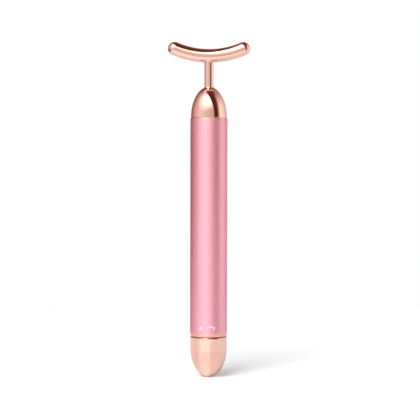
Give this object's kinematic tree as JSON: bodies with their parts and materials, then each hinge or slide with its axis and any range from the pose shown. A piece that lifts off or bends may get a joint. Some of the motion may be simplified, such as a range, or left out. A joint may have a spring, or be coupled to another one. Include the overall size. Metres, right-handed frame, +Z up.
{
  "type": "facial massager",
  "caption": "Vibrating facial massager: a curved bar on a stem and dome, a slim handle tube with its motor and cell, and a bullet-shaped screw cap that switches it on.",
  "frame": {"origin": "the tip of the end cap, which is the lowest point of the upright massager, on the handle's axis", "axes": "+Z up the handle's axis to the massage bar, X along the bar, -Y towards the viewer of the picture"},
  "size_m": [0.0392, 0.0178, 0.1607],
  "materials": {
    "rose_gold": "mirror-polished rose gold plating",
    "rose_gold_cap": "polished rose gold plating",
    "rose_gold_collar": "polished rose gold plating",
    "pink_anodised": "satin pink anodising",
    "black_rubber": "smooth black rubber",
    "white_plastic": "moulded white plastic",
    "grey_plastic": "moulded grey plastic",
    "green_board": "green circuit board",
    "bright_steel": "bright nickel-plated steel",
    "core_steel": "grey laminated steel",
    "magnet": "dark sintered magnet",
    "brass": "bare brass",
    "copper": "copper",
    "red_insulation": "red wire insulation",
    "black_insulation": "black wire insulation",
    "cell_can": "bright nickel-plated can",
    "cell_jacket": "plain grey shrink jacket, bare of print"
  },
  "bodies": {
    "handle": {"massage_bar": "rose_gold", "head_stem": "rose_gold", "stem_washer": "bright_steel", "stem_nut": "brass", "shoulder_dome": "rose_gold", "dome_seal": "black_rubber", "handle_tube": "pink_anodised", "threaded_collar": "rose_gold_collar", "battery_sleeve": "white_plastic", "conductor_strip": "brass", "contact_board": "green_board", "contact_leaf": "brass", "leaf_rivet": "bright_steel", "motor_holder": "grey_plastic", "motor_can": "bright_steel", "motor_end_bell": "white_plastic", "motor_magnets": "magnet", "front_bush": "brass", "rear_bush": "brass", "motor_brushes": "copper", "motor_terminals": "brass", "red_lead": "red_insulation", "black_lead": "black_insulation"},
    "rotor": {"motor_shaft": "bright_steel", "armature_core": "core_steel", "armature_windings": "copper", "commutator": "copper", "eccentric_weight": "core_steel"},
    "battery": {"battery_cell": "cell_can", "battery_jacket": "cell_jacket"},
    "cap": {"end_cap": "rose_gold_cap", "cap_plug": "brass", "cap_seal": "black_rubber", "spring_seat": "bright_steel", "battery_spring": "bright_steel", "spring_rivet": "bright_steel"}
  },
  "joints": [
    {"name": "cap_travel", "type": "slide", "parent": "handle", "child": "battery", "axis": [0, 0, 1], "range_m": [-0.00625, 0]},
    {"name": "cap_twist", "type": "hinge", "parent": "battery", "child": "cap", "pos_m": [0, 0, 0.02], "axis": [0, 0, 1], "range_deg": [-1803, 0]},
    {"name": "motor_spin", "type": "hinge", "parent": "handle", "child": "rotor", "pos_m": [0, 0, 0.12], "axis": [0, 0, 1], "continuous": true}
  ],
  "couplings": [
    {"joint": "cap_twist", "follows": "cap_travel", "rad_per_m": 5026.5}
  ]
}
